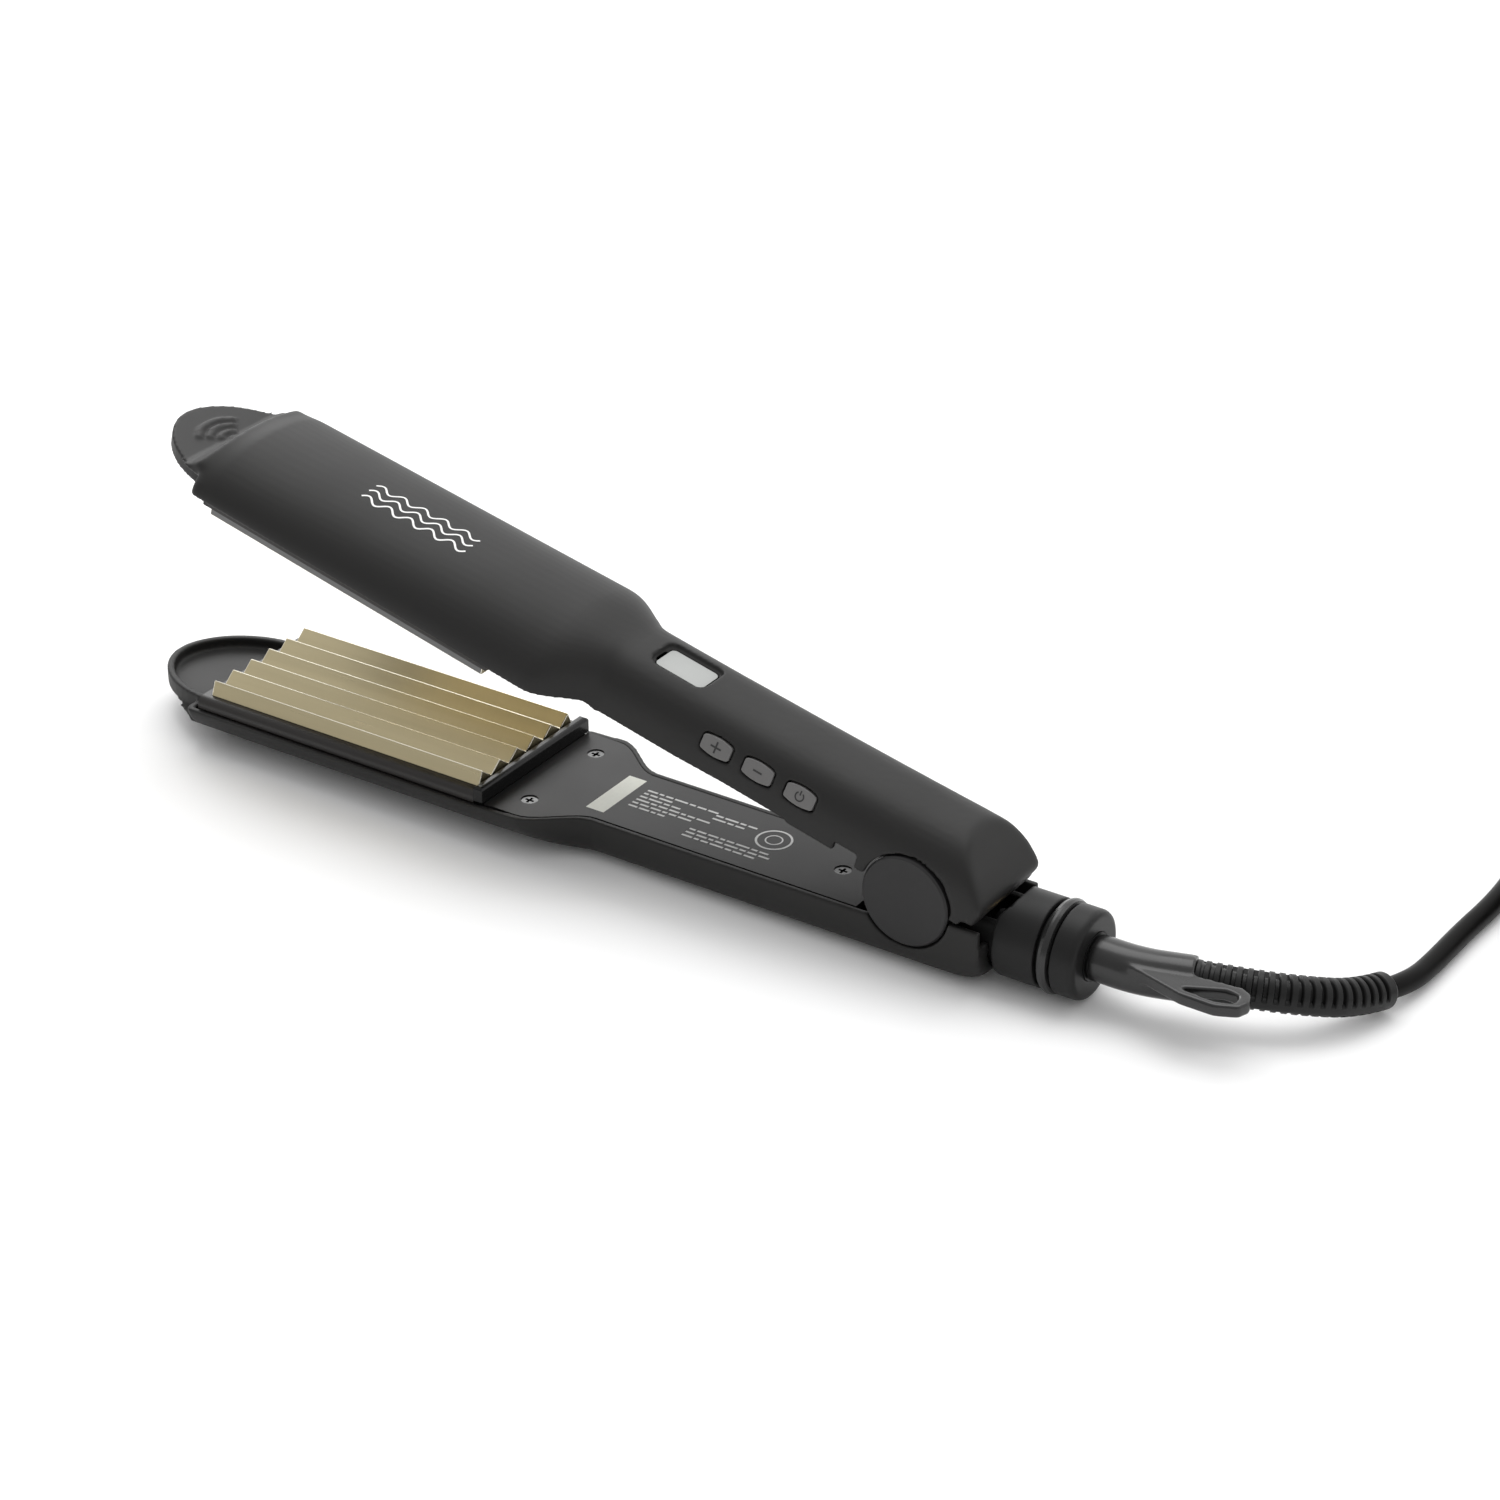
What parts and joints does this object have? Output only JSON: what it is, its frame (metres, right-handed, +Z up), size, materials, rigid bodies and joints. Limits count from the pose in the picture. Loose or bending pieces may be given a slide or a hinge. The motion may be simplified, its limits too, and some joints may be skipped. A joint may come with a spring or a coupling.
{
  "type": "hair crimper",
  "caption": "Corded hair crimper lying open: sprung hinged arms with ridged heated plates, push buttons, small display window, swivel cord and plug.",
  "frame": {"origin": "centre of the tool's own footprint, without the free cord, on the surface it lies on", "axes": "+Z up, -X towards the tips of the arms, +Y to the far side"},
  "size_m": [0.4294, 0.2119, 0.0889],
  "materials": {
    "soft_touch_shell": "matt soft-touch coating",
    "inner_cover": "fine satin moulding",
    "plate_frame": "satin heat-resistant moulding",
    "frame_end": "gloss",
    "crimp_plate": "titanium-coloured brushed coating",
    "heater": "satin",
    "spring_steel": "satin",
    "screw": "zinc plated",
    "sensor": "glass bead",
    "fuse_metal": "satin",
    "cap": "satin",
    "neck": "satin",
    "soft_ring": "semi-gloss",
    "contact_metal": "plain",
    "lens": "silvery clear",
    "lcd": "plain",
    "board": "solder-masked board",
    "switch": "plain",
    "button": "satin grey",
    "guard": "semi-gloss",
    "cord": "satin",
    "tie": "satin",
    "pin_metal": "bright plated"
  },
  "bodies": {
    "lower_arm": {"lower_shell": "soft_touch_shell", "lower_inner_cover": "inner_cover", "lower_plate_frame": "plate_frame", "lower_frame_end": "frame_end", "lower_crimp_plate": "crimp_plate", "lower_heater": "heater", "lower_heater_clip": "spring_steel", "lower_thermistor": "sensor", "lower_cover_screws": "screw", "hinge_pin": "spring_steel", "hinge_cap_near": "cap", "hinge_cap_far": "cap", "opening_spring": "spring_steel", "swivel_housing": "neck", "swivel_ring": "soft_ring", "swivel_collar": "neck", "brush_contacts": "contact_metal"},
    "upper_arm": {"upper_shell": "soft_touch_shell", "upper_inner_cover": "inner_cover", "upper_plate_frame": "plate_frame", "upper_crimp_plate": "crimp_plate", "upper_heater": "heater", "upper_heater_clip": "spring_steel", "upper_thermistor": "sensor", "thermal_fuse": "fuse_metal", "upper_cover_screws": "screw", "display_lens": "lens", "lcd_module": "lcd", "control_board": "board", "button_board": "board", "tact_switches": "switch"},
    "plus_button_body": {"plus_button": "button"},
    "minus_button_body": {"minus_button": "button"},
    "power_button_body": {"power_button": "button"},
    "cord_swivel": {"swivel_core": "neck", "slip_rings": "contact_metal", "cord_guard": "guard", "bend_relief": "guard", "power_cord": "cord", "cord_coil": "cord", "cord_tie": "tie", "plug_body": "guard", "plug_pins": "pin_metal"}
  },
  "joints": [
    {"name": "arm_hinge", "type": "hinge", "parent": "lower_arm", "child": "upper_arm", "pos_m": [0.0781, 0, 0.0196], "axis": [0, -1, 0], "range_deg": [0, 14], "stiffness_Nm_per_rad": 1.2, "springref_deg": -25.78, "deforming": ["opening_spring"]},
    {"name": "plus_press", "type": "slide", "parent": "upper_arm", "child": "plus_button_body", "axis": [-0.0827, 0.9397, -0.3319], "range_m": [0, 0.0008], "stiffness_N_per_m": 900, "springref_m": -0.0008},
    {"name": "minus_press", "type": "slide", "parent": "upper_arm", "child": "minus_button_body", "axis": [-0.0827, 0.9397, -0.3319], "range_m": [0, 0.0008], "stiffness_N_per_m": 900, "springref_m": -0.0008},
    {"name": "power_press", "type": "slide", "parent": "upper_arm", "child": "power_button_body", "axis": [-0.0827, 0.9397, -0.3319], "range_m": [0, 0.0008], "stiffness_N_per_m": 900, "springref_m": -0.0008},
    {"name": "cord_turn", "type": "hinge", "parent": "lower_arm", "child": "cord_swivel", "pos_m": [0.1181, 0, 0.0121], "axis": [1, 0, 0], "continuous": true}
  ]
}
